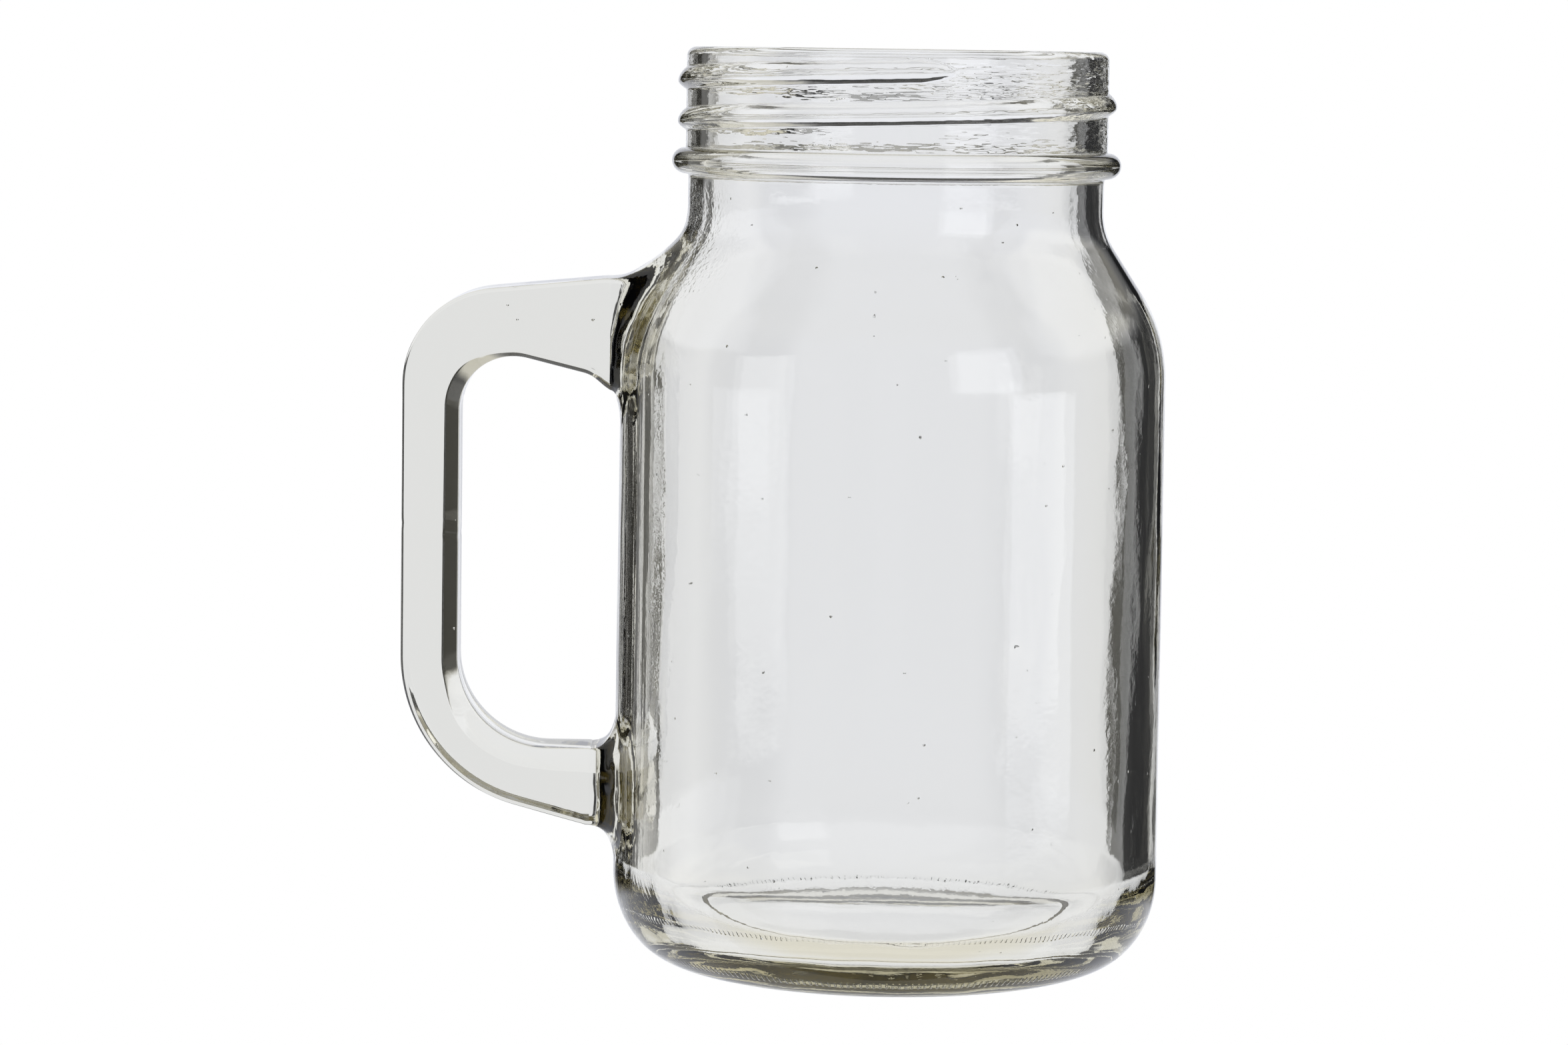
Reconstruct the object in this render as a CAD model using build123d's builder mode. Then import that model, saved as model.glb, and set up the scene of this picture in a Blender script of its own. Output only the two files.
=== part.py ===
from build123d import *
import os
from math import acos, atan2, cos, degrees, hypot, sin

# A clear glass drinking jar with a screw finish and a side handle.
# Millimetres. The jar stands on Z = 0 with its axis on +Z, and the handle is on the -X side.

# Jar, outside
height = 144.4
body_top_r = 43.0
body_low_r = 43.3
neck_r = 32.7
heel_width = 10.8
heel_height = 14.0
shoulder_z = 93.0
shoulder_r = 25.0
neck_curve_r = 11.0
neck_curve_z = 119.5

# Jar, inside
wall = 4.0
mouth_r = 30.0
floor_z = 6.4
floor_rise = 0.6
inner_heel_width = 8.5
inner_heel_height = 10.0
floor_mid_rise_share = 0.75
cut_above_rim = 1.0

# Standing ring and the hollow under the base
ring_width = 1.4
ring_edge_r = 1.0
push_up = 3.0
dome_mid_r_share = 0.55
dome_mid_z_share = 0.8

# Screw finish: bead, thread and rim, for a standard 70 mm lid
finish_r = 33.15
bead_z = 126.6
bead_r = 2.0
bead_crest_r = 35.3
rim_outer_r = 1.5
rim_inner_r = 1.2
thread_pitch = 6.35
thread_depth = 1.3
thread_root = 3.2
thread_crest = 1.4
thread_start_angle = -76.5
thread_start_z = 140.85
thread_turns = 1.5
thread_sink = 0.5

# Handle: a D-shaped bar, cut from a plate and rounded along its edges
handle_depth = 14.5
handle_edge_r = 2.0
grip_outer_x = -77.0
grip_inner_x = -68.2
top_corner = (grip_outer_x, 104.9)
top_corner_r = 15.2
low_corner = (grip_outer_x, 29.5)
low_corner_r = 24.5
gap_top_corner = (grip_inner_x, 98.0)
gap_top_r = 8.7
gap_root_corner = (-47.5, 92.9)
gap_root_r = 5.0
gap_low_corner = (grip_inner_x, 33.6)
gap_low_r = 14.4

# Upright planes where the handle meets the two root bosses of the jar, and its section there
upper_joint_x = -44.5
upper_joint_top = (upper_joint_x, 108.1)
upper_joint_low = (upper_joint_x, 90.4)
lower_joint_x = -47.0
lower_joint_top = (lower_joint_x, 33.6)
lower_joint_low = (lower_joint_x, 21.4)
joint_tolerance = 0.01

# Root bosses, which run into the jar's wall
boss_fairing_r = 9.0
boss_fairing_start = (1, 0.1)
boss_fairing_turn = 34
boss_shoulder_point = (-34.0, 114.6)
boss_wall_x = -42.5
boss_inner_x = -40.5
boss_inner_z = 100.0
upper_boss_low_z = 86.5
lower_boss_top_z = 38.4
lower_boss_low_z = 16.8

os.makedirs("parts", exist_ok=True)


def shoulder_points(convex_r, concave_r):
    """Tangent points of the straight run between the shoulder arc and the neck arc."""
    low = (body_top_r - shoulder_r, shoulder_z)
    high = (neck_r + neck_curve_r, neck_curve_z)
    span = hypot(high[0] - low[0], high[1] - low[1])
    rise = atan2(high[1] - low[1], high[0] - low[0])
    angle = rise - acos((convex_r + concave_r) / span)
    start = (low[0] + convex_r * cos(angle), low[1] + convex_r * sin(angle))
    end = (high[0] - concave_r * cos(angle), high[1] - concave_r * sin(angle))
    return low, high, degrees(angle), start, end


def draw_shoulder(convex_r, concave_r):
    """One side of the shoulder: arc, straight run, arc, from the wall up to the neck."""
    low, high, angle, start, end = shoulder_points(convex_r, concave_r)
    CenterArc(low, convex_r, 0, angle)
    Line(start, end)
    CenterArc(high, concave_r, 180 + angle, -angle)


def draw_outside():
    """The jar's outer outline from the axis under the base to the axis at the rim."""
    ring_r = body_low_r - heel_width
    ring_in_r = ring_r - ring_width
    dome = ThreePointArc(
        (0, push_up),
        (ring_in_r * dome_mid_r_share, push_up * dome_mid_z_share),
        (ring_in_r - ring_edge_r, ring_edge_r),
    )
    CenterArc((ring_in_r, ring_edge_r), ring_edge_r, 180, 90)
    Line((ring_in_r, 0), (ring_r, 0))
    EllipticalCenterArc((ring_r, heel_height), heel_width, heel_height, 270, arc_size=90)
    Line((body_low_r, heel_height), (body_top_r, shoulder_z))
    draw_shoulder(shoulder_r, neck_curve_r)
    bead_root_r = bead_crest_r - bead_r
    Polyline((neck_r, neck_curve_z), (neck_r, bead_z - bead_r), (bead_root_r, bead_z - bead_r))
    CenterArc((bead_root_r, bead_z), bead_r, -90, 180)
    rim_z = height - rim_outer_r
    Polyline((bead_root_r, bead_z + bead_r), (finish_r, bead_z + bead_r), (finish_r, rim_z))
    CenterArc((finish_r - rim_outer_r, rim_z), rim_outer_r, 0, 90)
    Polyline((finish_r - rim_outer_r, height), (0, height), dome @ 0)


def draw_inside():
    """The jar's inner outline from the floor to above the rim."""
    inner_r = body_top_r - wall
    heel_r = inner_r - inner_heel_width
    heel_z = floor_z + inner_heel_height
    floor = ThreePointArc(
        (0, floor_z + floor_rise),
        (heel_r / 2, floor_z + floor_rise * floor_mid_rise_share),
        (heel_r, floor_z),
    )
    EllipticalCenterArc((heel_r, heel_z), inner_heel_width, inner_heel_height, 270, arc_size=90)
    Line((inner_r, heel_z), (inner_r, shoulder_z))
    draw_shoulder(shoulder_r - wall, neck_curve_r + neck_r - mouth_r)
    lip_z = height - rim_inner_r
    Line((mouth_r, neck_curve_z), (mouth_r, lip_z))
    CenterArc((mouth_r + rim_inner_r, lip_z), rim_inner_r, 180, -90)
    cut_z = height + cut_above_rim
    Polyline((mouth_r + rim_inner_r, height), (mouth_r + rim_inner_r, cut_z), (0, cut_z), floor @ 0)


def ends_on(edge, joint_x):
    """True for an edge that has one end, and only one, on the upright plane at joint_x."""
    return sum(abs(vertex.X - joint_x) < joint_tolerance for vertex in edge.vertices()) == 1


def round_long_edges(part):
    """Round the edges along both flat sides that run from the two joint planes."""
    edges = part.faces().filter_by(Axis.Y).edges()
    edges = edges.filter_by(lambda edge: ends_on(edge, upper_joint_x) or ends_on(edge, lower_joint_x))
    fillet(edges, radius=handle_edge_r)


with BuildPart() as root_bosses:
    with BuildSketch(Plane.XZ):
        with BuildLine():
            Line(upper_joint_low, upper_joint_top)
            fairing = JernArc(upper_joint_top, boss_fairing_start, boss_fairing_r, boss_fairing_turn)
            Line(fairing @ 1, boss_shoulder_point)
            Polyline(
                boss_shoulder_point,
                (boss_shoulder_point[0], boss_inner_z),
                (boss_inner_x, upper_boss_low_z),
            )
            Line((boss_inner_x, upper_boss_low_z), (boss_wall_x, upper_boss_low_z))
            TangentArc((boss_wall_x, upper_boss_low_z), upper_joint_low, tangent=(0, 1))
        make_face()
        with BuildLine():
            Line(lower_joint_low, lower_joint_top)
            TangentArc(lower_joint_top, (boss_wall_x, lower_boss_top_z), tangent=(1, 0))
            Polyline(
                (boss_wall_x, lower_boss_top_z),
                (boss_inner_x, lower_boss_top_z),
                (boss_inner_x, lower_boss_low_z),
                (boss_wall_x, lower_boss_low_z),
                lower_joint_low,
            )
        make_face()
    extrude(amount=handle_depth / 2, both=True)
    round_long_edges(root_bosses)

with BuildPart() as jar:
    with BuildSketch(Plane.XZ):
        with BuildLine():
            draw_outside()
        make_face()
    revolve(axis=Axis.Z)
    add(root_bosses.part)

    # Single-start right-handed screw thread, sunk a little into the finish
    thread_height = thread_pitch * thread_turns
    thread_path = Helix(
        pitch=thread_pitch,
        height=thread_height,
        radius=finish_r,
        center=(0, 0, thread_start_z - thread_height),
        mode=Mode.PRIVATE,
    ).rotate(Axis.Z, thread_start_angle - 360 * thread_turns)
    thread_foot = thread_path @ 0
    outwards = Vector(thread_foot.X, thread_foot.Y, 0)
    with BuildSketch(Plane(thread_foot, x_dir=outwards, z_dir=thread_path % 0)):
        with BuildLine():
            Polyline(
                (-thread_sink, -thread_root / 2),
                (0, -thread_root / 2),
                (thread_depth, -thread_crest / 2),
                (thread_depth, thread_crest / 2),
                (0, thread_root / 2),
                (-thread_sink, thread_root / 2),
                close=True,
            )
        make_face()
    sweep(path=thread_path, is_frenet=True)

    with BuildSketch(Plane.XZ):
        with BuildLine():
            draw_inside()
        make_face()
    revolve(axis=Axis.Z, mode=Mode.SUBTRACT)

with BuildPart() as handle:
    with BuildSketch(Plane.XZ):
        with BuildLine():
            FilletPolyline(
                upper_joint_top,
                top_corner,
                low_corner,
                lower_joint_low,
                radius=(top_corner_r, low_corner_r),
            )
            Line(lower_joint_low, lower_joint_top)
            FilletPolyline(
                lower_joint_top,
                gap_low_corner,
                gap_top_corner,
                gap_root_corner,
                upper_joint_low,
                radius=(gap_low_r, gap_top_r, gap_root_r),
            )
            Line(upper_joint_low, upper_joint_top)
        make_face()
    extrude(amount=handle_depth / 2, both=True)
    round_long_edges(handle)

jar.part.label = "jar"
export_step(jar.part, "parts/jar.step")
handle.part.label = "handle"
export_step(handle.part, "parts/handle.step")
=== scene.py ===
"""Looks of a clear glass drinking jar: one mesh of glass for the jar and one for its handle."""

import math

import bpy
import numpy as np
from mathutils import Matrix, Vector, geometry, noise


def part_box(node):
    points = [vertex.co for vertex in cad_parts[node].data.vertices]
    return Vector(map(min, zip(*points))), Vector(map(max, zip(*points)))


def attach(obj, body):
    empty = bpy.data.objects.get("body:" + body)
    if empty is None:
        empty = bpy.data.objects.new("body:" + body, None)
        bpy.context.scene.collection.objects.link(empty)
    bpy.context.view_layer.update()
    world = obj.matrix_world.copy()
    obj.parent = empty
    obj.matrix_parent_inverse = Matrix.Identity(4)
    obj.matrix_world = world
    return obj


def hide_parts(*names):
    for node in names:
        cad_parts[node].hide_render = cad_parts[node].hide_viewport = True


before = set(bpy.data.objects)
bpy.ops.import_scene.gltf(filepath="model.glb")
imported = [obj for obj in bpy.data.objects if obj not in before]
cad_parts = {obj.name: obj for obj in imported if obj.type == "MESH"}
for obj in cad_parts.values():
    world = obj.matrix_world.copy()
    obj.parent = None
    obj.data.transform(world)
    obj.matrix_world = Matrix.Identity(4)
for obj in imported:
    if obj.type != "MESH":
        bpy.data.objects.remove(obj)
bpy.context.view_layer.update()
JAR_LOW, JAR_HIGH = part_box("jar")
HANDLE_LOW, HANDLE_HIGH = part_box("handle")

MM = 0.001
FULL_TURN = 2 * math.pi

# Driving sizes, in millimetres, read from the frame
HEIGHT = JAR_HIGH[2] / MM
LOW_R = JAR_HIGH[1] / MM
GRIP_OUTER_X = HANDLE_LOW[0] / MM
HALF_DEPTH = HANDLE_HIGH[1] / MM
LOWER_JOINT_X = JAR_LOW[0] / MM
UPPER_JOINT_X = HANDLE_HIGH[0] / MM

# Jar, outside
TOP_R = LOW_R - 0.3
NECK_R = 32.7
HEEL_WIDTH, HEEL_HEIGHT = 10.8, 14.0
SHOULDER_Z, SHOULDER_R = 93.0, 25.0
NECK_CURVE_Z, NECK_CURVE_R = 119.5, 11.0
FINISH_R = 33.15
BEAD_Z, BEAD_R, BEAD_CREST_R = 126.6, 2.0, 35.3
BEAD_FOOT_Z = BEAD_Z - BEAD_R
BEAD_FILLET_R = 0.5
FINISH_FOOT_Z = BEAD_Z + BEAD_R - 0.5
RIM_OUTER_R, RIM_INNER_R = 1.5, 1.2
PUSH_UP = 3.0
RING_WIDTH, RING_EDGE_R = 1.4, 1.0

# Jar, inside
WALL = 4.0
MOUTH_R = 30.0
FLOOR_Z, FLOOR_RISE = 6.4, 0.6
INNER_HEEL_WIDTH, INNER_HEEL_HEIGHT = 8.5, 10.0

# Screw thread
PITCH = 6.35
THREAD_DEPTH, THREAD_HALF = 1.3, 1.75
THREAD_START, THREAD_START_Z, THREAD_TURNS = -76.5, 140.85, 1.5
THREAD_START_RUN, THREAD_END_RUN = 8.0, 20.0
THREAD_UNDER = 0.78
THREAD_OVER_POWER = 0.8

# Columns of the jar's mesh: a fine stretch each side of the handle, a plain one elsewhere
HANDLE_SIDE = math.pi
FINE_HALF = math.radians(27)
FINE_STEP = math.radians(0.75)
PLAIN_COLUMNS = 280
HOLLOW_STEPS, FLOOR_STEPS = 36, 30

# Unevenness of the jar's walls: depths of its slow waves, its ripples and its upright streaks
OUTER_WAVE, OUTER_RIPPLE, OUTER_STREAK = 0.05, 0.012, 0.035
INNER_WAVE, INNER_RIPPLE, INNER_STREAK = 0.11, 0.035, 0.06
FINISH_WAVE = 0.008
FLOOR_WAVE, FLOOR_MIDDLE_WAVE, FLOOR_WAVE_SCALE = 0.12, 0.08, 0.16

# Where it sets in and dies away. Radii, heights, and the share of the jar's radius at which the
# streaks of its two sides set in; the inner wall loses FINISH_CALM of its unevenness at the finish.
OUTER_EVEN_R, FINISH_LEAST_R = 20, 31
OUTER_WAVE_START_Z, OUTER_WAVE_END_Z = (3, 14), (BEAD_FOOT_Z - 4, BEAD_FOOT_Z - 1)
FLOOR_EVEN_R, FLOOR_UNEVEN_R, FLOOR_LIMIT_Z = 12, 25, FLOOR_Z + 3
INNER_CALM_Z, FINISH_CALM = (BEAD_Z - 8, BEAD_Z), 0.93
STREAK_SIDE, RIGHT_STREAK_SHARE = (0.72, 0.95), 0.6

# Handle
GRIP_INNER_X = GRIP_OUTER_X + 8.8
UPPER_ROOT = ((UPPER_JOINT_X, 108.1), (UPPER_JOINT_X, 90.4))
LOWER_ROOT = ((LOWER_JOINT_X, 21.4), (LOWER_JOINT_X, 33.6))
TOP_CORNER_Z, TOP_CORNER_R = 104.9, 15.2
LOW_CORNER_Z, LOW_CORNER_R = 29.5, 24.5
GAP_ROOT_CORNER, GAP_ROOT_R = (-47.5, 92.9), 5.0
GAP_TOP_Z, GAP_TOP_R = 98.0, 8.7
GAP_LOW_Z, GAP_LOW_R = 33.6, 14.4
# Samples of each run and corner of the two edges, which have to add up to the same
OUTER_STEPS = (22, 34, 100, 40, 22)
GAP_STEPS = (3, 7, 12, 34, 100, 40, 22)

# Handle, across the bar. A bevel is given as its width along the bar's flat side and its depth
# across the side that faces the fingers.
OUTER_EDGE_R, SIDE_EDGE_R, GAP_EDGE_R = 0.9, 0.9, 0.7
GRIP_BEVEL, TOP_BEVEL, LOW_BEVEL = (2.2, 2.7), (1.0, 1.3), (3.4, 1.7)
TOP_ARM_X, TOP_ARM_LEAST_Z, LOW_ARM_Z = (-67, -60), 70, (37, 45)
JOINT_GROOVE = 0.10
MOULD_LINE_Z, MOULD_GROOVE, MOULD_GROOVE_HALF = 66.9, 0.06, 0.5
SIDE_DOME, SIDE_WAVE, ROOT_WAVE, ROOT_FADE = 0.10, 0.03, 0.3, 3.0
EDGE_STEPS = 5
SIDE_RUNS = (10, 12, 3, 8, 3, 12)

# Fairings round the handle's roots: reach sideways, up and down, and the heights they lie between
UPPER_FLARE, UPPER_PATCH = (5.2, 8.5, 6.0), (80.5, 118.5)
LOWER_FLARE, LOWER_PATCH = (5.4, 5.5, 6.0), (13.2, 41.5)
PATCH_HALF_WIDTH = 15.5
PATCH_STEP = 0.55
PATCH_LOOPS = (0.12, 0.3, 0.55, 0.9, 1.35, 1.9, 2.6, 3.4)
PATCH_GRID_GAP = 3.8
BOSS_WAVE, BOSS_RIPPLE, BOSS_WAVE_PEAK = 0.42, 0.10, 0.25
BOSS_WAVE_END_Z = (109, 114)

# Skin of the glass, as bump: scales per millimetre, depths in millimetres, and where each is, as
# two soft edges (from, to) of a band or one soft edge
PEEL_SCALE, PEEL_DEPTH = 0.8, 0.007
BLISTER_SCALE, BLISTER_SIZE, BLISTER_DEPTH = 0.16, 0.040, 0.16
FLOW_SCALE, FLOW_DEPTH, FLOW_X = (0.5, 1.1, 0.02), 0.05, ((-46, -44), (-41.5, -37))
PEBBLE_SCALE, PEBBLE_DEPTH, PEBBLE_Z, PEBBLE_X = 1.3, 0.045, ((103, 109), (121, 124)), (-29, -24)
WRINKLE_SCALE, WRINKLE_DEPTH, WRINKLE_Z = (0.28, 0.28, 1.6), 0.10, ((127, 130), (142, 143.5))
WRINKLE_RIGHT_X, WRINKLE_LEFT_SHARE = (2, 9), 0.3
WRINKLE_UPPER_Z, WRINKLE_LOWER_SHARE = (136, 138), 0.5
KNURLS, KNURL_DEPTH, KNURL_EDGE = 250.0, 0.08, (0.2, 0.9)
KNURL_Z, KNURL_LEAST_R_SQUARED = ((2.2, 2.6), (3.0, 3.4)), (1250, 1300)

# Clear soda-lime glass, warm grey where thick
GLASS_IOR = 1.52
ABSORPTION_COLOUR, ABSORPTION_DENSITY = (0.467, 0.408, 0.10, 1), 18

# Regions of the studio: azimuth from and to, elevation from and to (degrees), soft edge, level
# and warmth. Azimuth 0 is behind the jar and 90 is its right; a later region is laid over an
# earlier one.
STUDIO_LEVEL = 0.03
COOL_LIGHT = (1.0, 1.02, 1.085)
WARM_LIGHT = (1.06, 1.0, 0.76)
STUDIO = (
    (-190, -130, -90, 90, 8, 0.45, 0),
    (130, 190, -90, 90, 8, 0.45, 0),
    (-94, -44, -90, 90, 5, 0.80, 0.3),
    (62, 95, -90, 90, 10, 0.32, 0.8),
    (24, 100, 14, 90, 5, 0.85, 0.6),
    (-44, -16.5, -90, 90, 1.5, 0.03, 0.5),
    (-44, -10, 14, 90, 4, 0.60, 0.5),
    (-16.5, 16.5, -90, 28, 1.5, 0.89, 0),
    (-127, -98, -5.4, -2.8, 0.8, 0.75, 0),
    (99, 130, -8.8, -2.8, 0.8, 1.35, 0),
    (126, 154, -2.4, 26, 1.6, 1.55, 0),
    (-200, 200, 62, 100, 6, 0.40, 0),
    (-200, 200, -110, -24, 14, 0.42, 0.5),
    (-100, 100, -110, -12.6, 1.8, 0.94, 0),
    (-100, 100, -110, -52, 14, 0.84, 0.45),
)
FLOOR_HALF = 3.0  # metres

# Camera, in metres and radians: a long lens at rim height, tipped down. Its scale is given at the
# jar's axis, for a picture IMAGE_WIDTH pixels wide.
CAMERA_DISTANCE = 0.740
CAMERA_X, CAMERA_Z = -0.01685, 0.14244
CAMERA_PITCH, CAMERA_ROLL = 0.0983, 0.0149
SENSOR_WIDTH_MM = 36
METRES_PER_PIXEL = 0.1052e-3
IMAGE_WIDTH = 2352

# Bounces that light may make in thick clear glass before it is given up
LIGHT_BOUNCES, REFLECTION_BOUNCES = 32, 20


def unit_noise(x, y, z, seed=0.0):
    """Smooth noise from -1 to 1."""
    return noise.noise(Vector((x + seed, y - seed, z + 0.37 * seed)))


def wall_noise(x, y, z, around, upright, seed=0.0):
    """Noise on a wall in the direction (x, y), with its scales around the jar and up it."""
    return unit_noise(x * around, y * around, z * upright, seed)


def smooth(low, high, value):
    """Smooth step from 0 at low to 1 at high."""
    t = np.clip((np.asarray(value, float) - low) / (high - low), 0, 1)
    return t * t * (3 - 2 * t)


class Outline:
    """An open outline in (radius, height), sampled at an even step."""

    def __init__(self, start, step):
        self.points = [np.array(start, float)]
        self.step = step

    def line(self, end, step=None):
        start, end = self.points[-1], np.array(end, float)
        count = max(1, math.ceil(np.linalg.norm(end - start) / (step or self.step)))
        for i in range(1, count + 1):
            self.points.append(start + (end - start) * i / count)
        return self

    def arc(self, centre, radii, start, end, step=None):
        centre, radii = np.array(centre, float), np.array(radii, float) * np.ones(2)
        sweep = math.radians(end - start)
        count = max(3, math.ceil(abs(sweep) * radii.max() / (step or self.step)))
        for i in range(1, count + 1):
            angle = math.radians(start) + sweep * i / count
            self.points.append(centre + radii * (math.cos(angle), math.sin(angle)))
        return self

    def dome(self, radius, edge_z, rise, steps):
        """Shallow dome that falls from the axis to edge_z at the radius."""
        for i in range(1, steps + 1):
            self.points.append(np.array((radius * i / steps, edge_z + rise * (1 - (i / steps) ** 2))))
        return self

    def shoulder(self, convex_r, concave_r):
        """Arc, straight run and arc from the body wall up to the neck."""
        low = (TOP_R - SHOULDER_R, SHOULDER_Z)
        high = (NECK_R + NECK_CURVE_R, NECK_CURVE_Z)
        span = math.hypot(high[0] - low[0], high[1] - low[1])
        rise = math.atan2(high[1] - low[1], high[0] - low[0])
        angle = rise - math.acos((convex_r + concave_r) / span)
        away = np.array((math.cos(angle), math.sin(angle)))
        self.arc(low, convex_r, 0, math.degrees(angle))
        self.line(np.array(high) - concave_r * away)
        return self.arc(high, concave_r, 180 + math.degrees(angle), 180)

    def array(self):
        return np.array(self.points)


def outer_outline():
    """From the middle of the base, over the standing ring and up to the top of the rim."""
    ring_r = LOW_R - HEEL_WIDTH
    ring_in = ring_r - RING_WIDTH
    out = Outline((0.0, PUSH_UP), 0.8)
    out.dome(ring_in - RING_EDGE_R, RING_EDGE_R, PUSH_UP - RING_EDGE_R, HOLLOW_STEPS)
    out.arc((ring_in, RING_EDGE_R), RING_EDGE_R, 180, 270, 0.2)
    out.line((ring_r, 0), 0.35)
    out.arc((ring_r, HEEL_HEIGHT), (HEEL_WIDTH, HEEL_HEIGHT), 270, 360, 0.5)
    out.line((TOP_R, SHOULDER_Z), 1.2)
    out.shoulder(SHOULDER_R, NECK_CURVE_R)
    fillet_z = BEAD_FOOT_Z - BEAD_FILLET_R
    out.line((NECK_R, fillet_z), 0.6)
    out.arc((NECK_R + BEAD_FILLET_R, fillet_z), BEAD_FILLET_R, 180, 90, 0.15)
    out.arc((BEAD_CREST_R - BEAD_R, BEAD_Z), BEAD_R, -90, 90, 0.16)
    out.line((FINISH_R + 0.02, BEAD_Z + BEAD_R + 0.1), 0.2)
    out.line((FINISH_R, HEIGHT - RIM_OUTER_R), 0.13)
    out.arc((FINISH_R - RIM_OUTER_R, HEIGHT - RIM_OUTER_R), RIM_OUTER_R, 0, 90, 0.2)
    return out.array()


def inner_outline():
    """From the top of the rim down the inside to the middle of the floor."""
    inner_r = TOP_R - WALL
    heel_r = inner_r - INNER_HEEL_WIDTH
    heel_z = FLOOR_Z + INNER_HEEL_HEIGHT
    out = Outline((0.0, FLOOR_Z + FLOOR_RISE), 1.0)
    out.dome(heel_r, FLOOR_Z, FLOOR_RISE, FLOOR_STEPS)
    out.arc((heel_r, heel_z), (INNER_HEEL_WIDTH, INNER_HEEL_HEIGHT), 270, 360, 0.4)
    out.line((inner_r, SHOULDER_Z), 1.5)
    out.shoulder(SHOULDER_R - WALL, NECK_CURVE_R + NECK_R - MOUTH_R)
    out.line((MOUTH_R, HEIGHT - RIM_INNER_R), 0.8)
    out.arc((MOUTH_R + RIM_INNER_R, HEIGHT - RIM_INNER_R), RIM_INNER_R, 180, 90, 0.2)
    return out.array()[::-1]


def column_angles():
    """Angles of the mesh's columns, from one side of the handle round to the same place."""
    fine = np.arange(-FINE_HALF, FINE_HALF + 1e-9, FINE_STEP)
    plain = np.linspace(FINE_HALF, FULL_TURN - FINE_HALF, PLAIN_COLUMNS + 1)[1:-1]
    return HANDLE_SIDE + np.concatenate((fine, plain))


def thread_bump(angle, z):
    """Height of the screw thread's ridge over the finish, in millimetres."""
    height = 0.0
    behind = (math.radians(THREAD_START) - angle) % FULL_TURN
    length = FULL_TURN * THREAD_TURNS
    for turn in range(math.ceil(THREAD_TURNS)):
        along = behind + FULL_TURN * turn
        fade = math.sqrt(min(1.0, along / math.radians(THREAD_START_RUN)))
        fade *= float(1 - smooth(length - math.radians(THREAD_END_RUN), length, along))
        if fade <= 0:
            continue
        half = THREAD_HALF * fade
        middle = THREAD_START_Z + (1 - THREAD_UNDER) * half - PITCH * along / FULL_TURN
        offset = (z - middle) / half
        if abs(offset) < 1:
            under = min(1.0, (offset + 1) / THREAD_UNDER)
            over = min(1.0, (1 - offset) / (2 - THREAD_UNDER))
            ridge = math.sin(under * math.pi / 2) * math.sin(over * math.pi / 2) ** THREAD_OVER_POWER
            height = max(height, THREAD_DEPTH * fade * ridge)
    return height


def streaks(x, y, z, depth, seed):
    """Long upright flow marks on the two sides where the mould halves meet."""
    side = float(smooth(*STREAK_SIDE, abs(x))) * (1.0 if x < 0 else RIGHT_STREAK_SHARE)
    if side <= 0:
        return 0.0
    return side * depth * unit_noise(y * 13, z * 0.012, x * 2, seed)


def outer_wave(x, y, z):
    """Unevenness of the outer wall in the direction (x, y), in millimetres."""
    uneven = float(smooth(*OUTER_WAVE_START_Z, z) * (1 - smooth(*OUTER_WAVE_END_Z, z)))
    wave = OUTER_WAVE * wall_noise(x, y, z, 2.6, 0.045)
    ripple = OUTER_RIPPLE * wall_noise(x, y, z, 9, 0.16, 7.0)
    return uneven * (wave + ripple + streaks(x, y, z, OUTER_STREAK, 19.0))


def outer_point(angle, r, z):
    """A point of the outer wall with the thread and the glass's unevenness."""
    x, y = math.cos(angle), math.sin(angle)
    wave = outer_wave(x, y, z) if r > OUTER_EVEN_R else 0.0
    if r > FINISH_LEAST_R and z > FINISH_FOOT_Z:
        r += thread_bump(angle, z)
        wave = FINISH_WAVE * wall_noise(x, y, z, 5, 0.4, 3.0)
    r += wave
    return (r * x, r * y, z)


def inner_point(angle, r, z):
    """A point of the inner wall, which is less even than the mould side."""
    x, y = math.cos(angle), math.sin(angle)
    floor_noise = 0.0
    if z < FLOOR_LIMIT_Z:
        floor_noise = unit_noise(r * x * FLOOR_WAVE_SCALE, r * y * FLOOR_WAVE_SCALE, 0.0, 2.0)
    if r > FLOOR_EVEN_R:
        uneven = float(smooth(FLOOR_EVEN_R, FLOOR_UNEVEN_R, r))
        uneven *= float(1 - FINISH_CALM * smooth(*INNER_CALM_Z, z))
        wave = INNER_WAVE * wall_noise(x, y, z, 2.2, 0.03, 11.0)
        wave += INNER_RIPPLE * wall_noise(x, y, z, 8, 0.09, 5.0) + streaks(x, y, z, INNER_STREAK, 23.0)
        z += FLOOR_WAVE * uneven * floor_noise
        r += wave * uneven
    else:
        z += FLOOR_MIDDLE_WAVE * floor_noise
    return (r * x, r * y, z)


def round_corner(before, corner, after, radius):
    """Arc that rounds a corner: its centre, start angle and turn, and its first and last points."""
    back = (before - corner) / np.linalg.norm(before - corner)
    on = (after - corner) / np.linalg.norm(after - corner)
    half = math.acos(float(back @ on)) / 2
    cut = radius / math.tan(half)
    centre = corner + (back + on) / np.linalg.norm(back + on) * radius / math.sin(half)
    first, last = corner + back * cut, corner + on * cut
    start = math.atan2(*(first - centre)[::-1])
    turn = (math.atan2(*(last - centre)[::-1]) - start + math.pi) % FULL_TURN - math.pi
    return centre, start, turn, first, last


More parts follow.
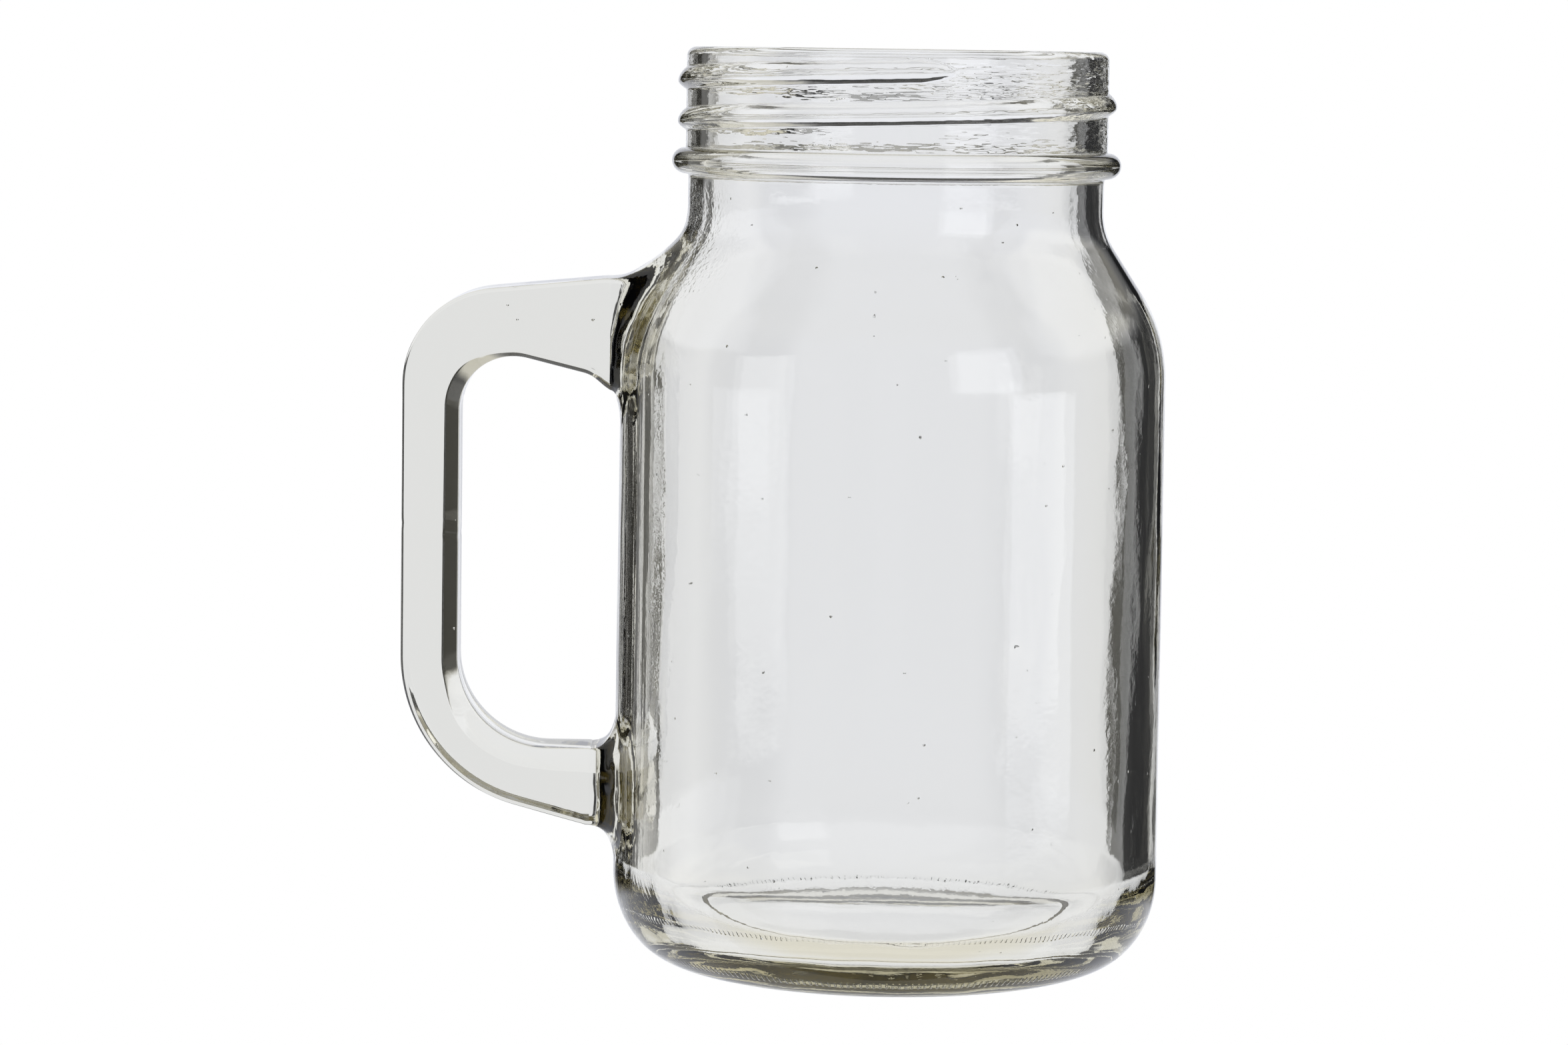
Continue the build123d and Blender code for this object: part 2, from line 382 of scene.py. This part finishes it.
def rounded_path(points, radii, steps):
    """An open path with round corners; steps gives the samples of each run and each corner."""
    points = [np.array(p, float) for p in points]
    path = []
    here = points[0]
    for i, radius in enumerate(radii):
        centre, start, turn, first, last = round_corner(here, points[i + 1], points[i + 2], radius)
        path += [here + (first - here) * t for t in np.linspace(0, 1, steps[2 * i], endpoint=False)]
        for t in np.linspace(0, 1, steps[2 * i + 1], endpoint=False):
            angle = start + turn * t
            path.append(centre + radius * np.array((math.cos(angle), math.sin(angle))))
        here = last
    path += [here + (points[-1] - here) * t for t in np.linspace(0, 1, steps[-1])]
    return np.array(path)


def rounded_polygon(corners, radii, arc_steps, runs):
    """A closed ring with round corners; runs gives the samples of the straight run after each corner."""
    corners = [np.array(c, float) for c in corners]
    arcs = []
    for i, radius in enumerate(radii):
        before, after = corners[i - 1], corners[(i + 1) % len(corners)]
        centre, start, turn, _, _ = round_corner(before, corners[i], after, radius)
        angles = start + turn * np.linspace(0, 1, arc_steps + 1)
        arcs.append(centre + radius * np.stack((np.cos(angles), np.sin(angles)), 1))
    ring = []
    for i, arc in enumerate(arcs):
        ring += list(arc)
        start, end = arc[-1], arcs[(i + 1) % len(arcs)][0]
        ring += [start + (end - start) * t for t in np.linspace(0, 1, runs[i] + 1)[1:-1]]
    return np.array(ring)


def handle_edges():
    """The handle's outer and inner edges in the XZ plane, sampled in step with each other."""
    outer = rounded_path(
        (UPPER_ROOT[0], (GRIP_OUTER_X, TOP_CORNER_Z), (GRIP_OUTER_X, LOW_CORNER_Z), LOWER_ROOT[0]),
        (TOP_CORNER_R, LOW_CORNER_R),
        OUTER_STEPS,
    )
    inner = rounded_path(
        (
            UPPER_ROOT[1],
            GAP_ROOT_CORNER,
            (GRIP_INNER_X, GAP_TOP_Z),
            (GRIP_INNER_X, GAP_LOW_Z),
            LOWER_ROOT[1],
        ),
        (GAP_ROOT_R, GAP_TOP_R, GAP_LOW_R),
        GAP_STEPS,
    )
    return outer, inner


def section(inner, outer, bevel, shrink):
    """One closed ring of the bar: crisp outer edges, and bevelled edges round the finger gap."""
    across = outer - inner
    width = np.linalg.norm(across)
    across = across / width
    low, high, side = shrink, width - shrink, HALF_DEPTH - shrink
    corners = (
        (high, side), (high, -side), (low + bevel[0], -side),
        (low, -side + bevel[1]), (low, side - bevel[1]), (low + bevel[0], side),
    )
    radii = (OUTER_EDGE_R, OUTER_EDGE_R, SIDE_EDGE_R, GAP_EDGE_R, GAP_EDGE_R, SIDE_EDGE_R)
    points = []
    for a, b in rounded_polygon(corners, radii, EDGE_STEPS, SIDE_RUNS):
        x, z = inner[0] + across[0] * a, inner[1] + across[1] * a
        sunk = SIDE_DOME * (2 * a / width - 1) ** 2
        sunk += SIDE_WAVE * (1 + unit_noise(x * 0.12, z * 0.12, b, 31.0))
        root = math.exp(-max(0.0, LOWER_JOINT_X + 3 - x) / ROOT_FADE)
        sunk += ROOT_WAVE * root * (1 + unit_noise(x * 0.42, z * 0.25, b * 0.1, 37.0))
        points.append((x, b * (1 - sunk / HALF_DEPTH), z))
    return np.array(points)


def handle_rings():
    """Rings of the bar from the upper joint to the lower one, with a mould line across the grip."""
    outer, inner = handle_edges()
    rings = []
    for i, (o, n) in enumerate(zip(outer, inner)):
        top = float(smooth(*TOP_ARM_X, n[0])) * (n[1] > TOP_ARM_LEAST_Z)
        low = float(1 - smooth(*LOW_ARM_Z, n[1]))
        grip = 1 - top - low
        bevel = [g * grip + t * top + w * low for g, t, w in zip(GRIP_BEVEL, TOP_BEVEL, LOW_BEVEL)]
        groove = 0.0
        if n[0] < TOP_ARM_X[1]:
            groove = MOULD_GROOVE * math.exp(-(((n[1] - MOULD_LINE_Z) / MOULD_GROOVE_HALF) ** 2))
        joint = JOINT_GROOVE if i in (0, len(inner) - 1) else 0.0
        rings.append(section(n, o, bevel, groove + joint))
    return rings


OUTER = outer_outline()
INNER = inner_outline()
HANDLE_RINGS = handle_rings()
PLAIN_WALL = OUTER[(OUTER[:, 0] > NECK_R - 0.1) & (OUTER[:, 1] < BEAD_FOOT_Z - 0.6)]


def ring_distance(y, z, ring):
    """Distance from (y, z) to a closed ring, and how far up (1) or down (-1) it points."""
    a, b = ring, np.roll(ring, -1, axis=0)
    ab = b - a
    p = np.array((y, z))
    t = np.clip(((p - a) * ab).sum(1) / (ab * ab).sum(1), 0, 1)
    away = p - (a + ab * t[:, None])
    distance = np.hypot(away[:, 0], away[:, 1])
    i = int(distance.argmin())
    d = float(distance[i])
    return d, (float(away[i, 1] / d) if d > 1e-6 else 0.0)


def inside_ring(p, ring):
    """True if the point lies inside the closed ring."""
    a, b = ring, np.roll(ring, -1, axis=0)
    crosses = (a[:, 1] > p[1]) != (b[:, 1] > p[1])
    with np.errstate(divide="ignore", invalid="ignore"):
        at = a[:, 0] + (p[1] - a[:, 1]) * (b[:, 0] - a[:, 0]) / (b[:, 1] - a[:, 1])
    return bool((crosses & (p[0] < at)).sum() % 2)


def offset_ring(ring, distance):
    """The ring moved outwards, for a convex ring."""
    tangent = np.roll(ring, -1, axis=0) - np.roll(ring, 1, axis=0)
    tangent /= np.linalg.norm(tangent, axis=1)[:, None]
    normal = np.stack((tangent[:, 1], -tangent[:, 0]), 1)
    normal *= np.sign(((ring - ring.mean(0)) * normal).sum(1))[:, None]
    return ring + normal * distance


class Fairing:
    """The part of the outer wall that swells out to meet one root of the handle."""

    def __init__(self, ring, joint_x, flare, heights, angles):
        low, high = heights
        rows = [i for i, z in enumerate(OUTER[1:, 1]) if low < z < high]
        half_angle = PATCH_HALF_WIDTH / TOP_R
        columns = [j for j, angle in enumerate(angles) if abs(angle - HANDLE_SIDE) <= half_angle]
        self.rows, self.columns = (rows[0], rows[-1]), (columns[0], columns[-1])
        self.ring = ring
        self.flat_ring = ring[:, (1, 2)]  # its (y, z)
        self.joint_x, self.flare = joint_x, flare

    def holds(self, i, j):
        """True for a face of the plain wall that the fairing takes the place of."""
        return self.rows[0] <= i < self.rows[1] and self.columns[0] <= j < self.columns[1]

    def border(self, row_starts):
        """Indices of the plain wall's points round the fairing."""
        (i0, i1), (j0, j1) = self.rows, self.columns
        border = [row_starts[i0] + j for j in range(j0, j1)]
        border += [row_starts[i] + j1 for i in range(i0, i1)]
        border += [row_starts[i1] + j for j in range(j1, j0, -1)]
        return border + [row_starts[i] + j0 for i in range(i1, i0, -1)]

    def point(self, y, z):
        """A point of the fairing at (y, z), outside the joint's ring."""
        gap, direction = ring_distance(y, z, self.flat_ring)
        r = float(np.interp(z, PLAIN_WALL[:, 1], PLAIN_WALL[:, 0]))
        r += outer_wave(-math.sqrt(max(1 - (y / r) ** 2, 0)), y / r, z)
        wall_x = -math.sqrt(max(r * r - y * y, 1.0))
        sideways, up, down = self.flare
        reach = sideways + (up - sideways) * max(0.0, direction) ** 2
        reach += (down - sideways) * max(0.0, -direction) ** 2
        t = min(1.0, gap / reach)
        lift = 1 - math.sqrt(max(0.0, 1 - (1 - t) ** 2))
        rough = BOSS_WAVE * unit_noise(y * 0.36, z * 0.30, 0.0, 41.0)
        rough += BOSS_RIPPLE * unit_noise(y * 0.9, z * 0.5, 0.0, 43.0)
        if t < BOSS_WAVE_PEAK:
            rough *= math.sin(math.pi / 2 * t / BOSS_WAVE_PEAK)
        else:
            rough *= math.cos(math.pi / 2 * (t - BOSS_WAVE_PEAK) / (1 - BOSS_WAVE_PEAK))
        rough *= float(1 - smooth(*BOSS_WAVE_END_Z, z))
        return (wall_x + (self.joint_x - wall_x) * lift + rough, y, z)

    def inner_points(self, border):
        """Points (y, z) between the ring and the border: loops near the ring, then an even grid."""
        ring = self.flat_ring
        points = [tuple(p) for distance in PATCH_LOOPS for p in offset_ring(ring, distance)]
        (y0, z0), (y1, z1) = border.min(0), border.max(0)
        (ring_y0, ring_z0), (ring_y1, ring_z1) = ring.min(0), ring.max(0)
        for z in np.arange(z0 + PATCH_STEP * 0.6, z1 - PATCH_STEP * 0.4, PATCH_STEP):
            for y in np.arange(y0 + PATCH_STEP * 0.6, y1 - PATCH_STEP * 0.4, PATCH_STEP):
                over_joint = ring_y0 < y < ring_y1 and ring_z0 < z < ring_z1
                near_ring = ring_distance(y, z, ring)[0] <= PATCH_GRID_GAP
                if not near_ring and not over_joint and inside_ring((y, z), border):
                    points.append((y, z))
        return points

    def add_to(self, verts, faces, row_starts):
        """Fills the plain wall's hole with triangles that run from its border to the joint's ring."""
        links = self.border(row_starts)
        border = np.array([(verts[v][1], verts[v][2]) for v in links])
        ring_size = len(self.ring)
        points = [tuple(p) for p in border] + [tuple(p) for p in self.flat_ring] + self.inner_points(border)
        edges = closed_loop(0, len(links)) + closed_loop(len(links), ring_size)
        found = geometry.delaunay_2d_cdt([Vector(p) for p in points], edges, [], 0, 1e-5)
        new_points, triangles, origins = found[0], found[2], found[3]
        index = []
        for p, origin in zip(new_points, origins):
            source = origin[0] if origin else len(points)
            if source < len(links):
                index.append(links[source])
                continue
            index.append(len(verts))
            if source < len(links) + ring_size:
                verts.append(tuple(self.ring[source - len(links)]))
            else:
                verts.append(self.point(p[0], p[1]))
        for triangle in triangles:
            middle = sum((np.array(new_points[t]) for t in triangle), np.zeros(2)) / len(triangle)
            if inside_ring(middle, border) and not inside_ring(middle, self.flat_ring):
                a, b, c = (index[t] for t in triangle)
                faces.append((a, c, b))


def closed_loop(first, count):
    """Edges that join count points, from the first one on, into a closed loop."""
    return [(first + k, first + (k + 1) % count) for k in range(count)]


def ring_faces(low, high, count):
    """Quads between two closed rows of points, given by their first indices."""
    return [(low + j, low + (j + 1) % count, high + (j + 1) % count, high + j) for j in range(count)]


def make_piece(name, verts, faces, material):
    """A smooth-shaded mesh piece, given in millimetres."""
    mesh = bpy.data.meshes.new(name)
    mesh.from_pydata([tuple(c * MM for c in v) for v in verts], [], faces)
    mesh.validate()
    mesh.polygons.foreach_set("use_smooth", [True] * len(mesh.polygons))
    mesh.update()
    piece = bpy.data.objects.new(name, mesh)
    bpy.context.collection.objects.link(piece)
    mesh.materials.append(material)
    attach(piece, "root")
    return piece


def add_outer_wall(verts, faces, angles):
    """Rows of the outer wall with a fairing round each root; gives back the rows' first indices."""
    count = len(angles)
    fairings = (
        Fairing(HANDLE_RINGS[0], UPPER_JOINT_X, UPPER_FLARE, UPPER_PATCH, angles),
        Fairing(HANDLE_RINGS[-1], LOWER_JOINT_X, LOWER_FLARE, LOWER_PATCH, angles),
    )
    row_starts = []
    for r, z in OUTER[1:]:
        row_starts.append(len(verts))
        verts += [outer_point(angle, r, z) for angle in angles]
    for i in range(len(row_starts) - 1):
        quads = ring_faces(row_starts[i], row_starts[i + 1], count)
        faces += [quad for j, quad in enumerate(quads) if not any(f.holds(i, j) for f in fairings)]
    for fairing in fairings:
        fairing.add_to(verts, faces, row_starts)
    return row_starts


def build_jar(material):
    """The jar as one open mesh: outer wall, middle of the base, inner wall, middle of the floor."""
    angles = column_angles()
    count = len(angles)
    verts, faces = [], []
    row_starts = add_outer_wall(verts, faces, angles)
    first, last = row_starts[0], row_starts[-1]
    centre = len(verts)
    verts.append((0.0, 0.0, OUTER[0][1]))
    faces += [(centre, first + (j + 1) % count, first + j) for j in range(count)]
    for r, z in INNER[:-1]:
        row = len(verts)
        verts += [inner_point(angle, r, z) for angle in angles]
        faces += ring_faces(last, row, count)
        last = row
    centre = len(verts)
    verts.append((0.0, 0.0, INNER[-1][1]))
    faces += [(last + j, last + (j + 1) % count, centre) for j in range(count)]
    piece = make_piece("jar_body", verts, faces, material)
    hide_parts("jar")


def build_handle(material):
    """The handle as one mesh, open at both joints, where its rings are the jar's."""
    count = len(HANDLE_RINGS[0])
    verts = [tuple(p) for ring in HANDLE_RINGS for p in ring]
    faces = []
    for i in range(len(HANDLE_RINGS) - 1):
        for k in range(count):
            m = (k + 1) % count
            faces.append((i * count + k, (i + 1) * count + k, (i + 1) * count + m, i * count + m))
    piece = make_piece("handle_bar", verts, faces, material)
    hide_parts("handle")


class Nodes:
    """Small helper for writing node trees as expressions."""

    def __init__(self, tree):
        self.tree = tree
        tree.nodes.clear()

    def add(self, kind, inputs=(), **settings):
        node = self.tree.nodes.new(kind)
        for key, value in settings.items():
            setattr(node, key, value)
        for socket, value in zip(node.inputs, inputs):
            if value is None:
                continue
            if isinstance(value, bpy.types.NodeSocket):
                self.tree.links.new(value, socket)
            else:
                socket.default_value = value
        return node

    def math(self, operation, *inputs):
        return self.add("ShaderNodeMath", inputs, operation=operation).outputs[0]

    def product(self, *values):
        """Product of two or more values."""
        total = values[0]
        for value in values[1:]:
            total = self.math("MULTIPLY", total, value)
        return total

    def scaled(self, vector, scale):
        return self.add("ShaderNodeVectorMath", (vector, scale), operation="MULTIPLY").outputs[0]

    def noise(self, place, scale, detail):
        return self.add("ShaderNodeTexNoise", (place, None, scale, detail)).outputs[0]

    def step(self, value, low, high, start=0.0, end=1.0):
        """Smooth change from start at low to end at high."""
        node = self.add("ShaderNodeMapRange", (value, low, high, start, end), interpolation_type="SMOOTHSTEP")
        return node.outputs[0]

    def band(self, value, rise, fall):
        """1 between two soft edges, each given as (from, to), and 0 outside them."""
        return self.product(self.step(value, *rise), self.step(value, *fall, 1.0, 0.0))


def finish_skin(n, place, x, y, z):
    """Heights that only the jar has: a pebbled neck, a wrinkled finish and a row of knurls."""
    # pebbled skin on the side of the neck over the handle
    part = n.product(n.band(z, *PEBBLE_Z), n.step(x, *PEBBLE_X, PEBBLE_DEPTH, 0.0))
    pebbles = n.product(n.noise(place, PEBBLE_SCALE, 1.0), part)
    # level wrinkles round the finish, deepest at its upper right
    right = n.step(x, *WRINKLE_RIGHT_X, WRINKLE_LEFT_SHARE, 1.0)
    upper = n.step(z, *WRINKLE_UPPER_Z, WRINKLE_LOWER_SHARE, 1.0)
    part = n.product(right, upper, n.band(z, *WRINKLE_Z))
    wrinkle = n.noise(n.scaled(place, WRINKLE_SCALE), 1.0, 1.0)
    wrinkles = n.product(wrinkle, n.product(part, WRINKLE_DEPTH))
    # a row of small knurls just above the standing ring
    turn = n.math("ARCTAN2", y, x)
    knurl = n.step(n.math("SINE", n.product(turn, KNURLS)), *KNURL_EDGE)
    r_squared = n.math("ADD", n.math("POWER", x, 2), n.math("POWER", y, 2))
    row = n.product(n.band(z, *KNURL_Z), n.step(r_squared, *KNURL_LEAST_R_SQUARED))
    knurls = n.product(n.product(knurl, row), KNURL_DEPTH)
    return pebbles, wrinkles, knurls


def glass_material(name, on_jar):
    """Clear glass with the uneven skin that a mould leaves."""
    material = bpy.data.materials.new(name)
    material.use_nodes = True
    tree = material.node_tree
    n = Nodes(tree)
    place = n.scaled(n.add("ShaderNodeTexCoord").outputs["Object"], (1 / MM, 1 / MM, 1 / MM))
    x, y, z = n.add("ShaderNodeSeparateXYZ", (place,)).outputs
    height = n.product(n.noise(place, PEEL_SCALE, 2.0), PEEL_DEPTH)
    # seeds: a tiny blister wherever the middle of a cell of a coarse pattern is near the surface
    cells = n.add("ShaderNodeTexVoronoi", (place, None, BLISTER_SCALE))
    height = n.math("ADD", height, n.step(cells.outputs["Distance"], 0.0, BLISTER_SIZE, BLISTER_DEPTH, 0.0))
    # flow marks on the handle's side
    flow = n.noise(n.scaled(place, FLOW_SCALE), 1.0, 1.0)
    side = n.product(n.band(x, *FLOW_X), FLOW_DEPTH)
    height = n.math("ADD", height, n.product(flow, side))
    if on_jar:
        for more in finish_skin(n, place, x, y, z):
            height = n.math("ADD", height, more)
    bump = n.add("ShaderNodeBump")
    bump.inputs["Strength"].default_value = 1.0
    bump.inputs["Distance"].default_value = MM
    tree.links.new(height, bump.inputs["Height"])
    glass = n.add("ShaderNodeBsdfGlass")
    glass.inputs["IOR"].default_value = GLASS_IOR
    glass.inputs["Roughness"].default_value = 0.0
    tree.links.new(bump.outputs[0], glass.inputs["Normal"])
    out = n.add("ShaderNodeOutputMaterial")
    tree.links.new(glass.outputs[0], out.inputs["Surface"])
    absorb = n.add("ShaderNodeVolumeAbsorption")
    absorb.inputs["Color"].default_value = ABSORPTION_COLOUR
    absorb.inputs["Density"].default_value = ABSORPTION_DENSITY
    tree.links.new(absorb.outputs[0], out.inputs["Volume"])
    return material


def make_world():
    """White to the camera; to every other ray, the studio's regions painted by direction."""
    world = bpy.data.worlds.new("studio")
    bpy.context.scene.world = world
    world.use_nodes = True
    tree = world.node_tree
    n = Nodes(tree)
    direction = n.add("ShaderNodeTexCoord").outputs["Generated"]
    x, y, z = n.add("ShaderNodeSeparateXYZ", (direction,)).outputs
    azimuth = n.product(n.math("ARCTAN2", x, y), 180 / math.pi)
    elevation = n.product(n.math("ARCSINE", z), 180 / math.pi)
    level, warmth = STUDIO_LEVEL, 0.0
    for left, right, low, high, edge, value, warm in STUDIO:
        mask = n.product(
            n.step(azimuth, left - edge, left + edge),
            n.step(azimuth, right - edge, right + edge, 1.0, 0.0),
            n.step(elevation, low - edge, low + edge),
            n.step(elevation, high - edge, high + edge, 1.0, 0.0),
        )
        level = n.add("ShaderNodeMix", (mask, None, level, value)).outputs[0]
        warmth = n.add("ShaderNodeMix", (mask, None, warmth, warm)).outputs[0]
    seen = n.add("ShaderNodeBackground", ((1.0, 1.0, 1.0, 1), 1.0)).outputs[0]
    colour = n.add("ShaderNodeMixRGB", (warmth, (*COOL_LIGHT, 1), (*WARM_LIGHT, 1))).outputs[0]
    studio = n.add("ShaderNodeBackground", (colour, level)).outputs[0]
    camera_ray = n.add("ShaderNodeLightPath").outputs["Is Camera Ray"]
    both = n.add("ShaderNodeMixShader", (camera_ray, studio, seen)).outputs[0]
    out = n.add("ShaderNodeOutputWorld")
    tree.links.new(both, out.inputs["Surface"])


def make_floor():
    """Plain white floor, which the glass itself sees through to the studio."""
    mesh = bpy.data.meshes.new("floor")
    s = FLOOR_HALF
    mesh.from_pydata([(-s, -s, 0), (s, -s, 0), (s, s, 0), (-s, s, 0)], [], [(0, 1, 2, 3)])
    floor = bpy.data.objects.new("floor", mesh)
    bpy.context.collection.objects.link(floor)
    material = bpy.data.materials.new("pale_floor")
    material.use_nodes = True
    tree = material.node_tree
    n = Nodes(tree)
    glow = n.add("ShaderNodeEmission", ((1, 1, 1, 1), 1.0)).outputs[0]
    out = n.add("ShaderNodeOutputMaterial")
    tree.links.new(glow, out.inputs["Surface"])
    mesh.materials.append(material)
    floor.visible_glossy = False
    floor.visible_transmission = False


def make_camera():
    """A long lens at rim height, a little left of the jar's axis, tipped down and slightly rolled."""
    place = Vector((CAMERA_X, -CAMERA_DISTANCE, CAMERA_Z))
    forward = Vector((0, math.cos(CAMERA_PITCH), -math.sin(CAMERA_PITCH)))
    level_up = Vector((0, math.sin(CAMERA_PITCH), math.cos(CAMERA_PITCH)))
    level_right = Vector((1, 0, 0))
    right = level_right * math.cos(CAMERA_ROLL) + level_up * math.sin(CAMERA_ROLL)
    up = level_up * math.cos(CAMERA_ROLL) - level_right * math.sin(CAMERA_ROLL)
    data = bpy.data.cameras.new("camera")
    data.sensor_width = SENSOR_WIDTH_MM
    data.lens = CAMERA_DISTANCE / METRES_PER_PIXEL * SENSOR_WIDTH_MM / IMAGE_WIDTH
    camera = bpy.data.objects.new("camera", data)
    bpy.context.collection.objects.link(camera)
    camera.matrix_world = Matrix((
        (right.x, up.x, -forward.x, place.x),
        (right.y, up.y, -forward.y, place.y),
        (right.z, up.z, -forward.z, place.z),
        (0, 0, 0, 1),
    ))
    bpy.context.scene.camera = camera


def follow_light():
    """Lets light go through many walls and inner reflections before it is given up."""
    light = bpy.context.scene.cycles
    light.max_bounces = LIGHT_BOUNCES
    light.transmission_bounces = LIGHT_BOUNCES
    light.glossy_bounces = REFLECTION_BOUNCES


bpy.context.scene.view_settings.view_transform = "Standard"
follow_light()
make_camera()
make_world()
make_floor()
build_jar(glass_material("jar_glass", True))
build_handle(glass_material("handle_glass", False))
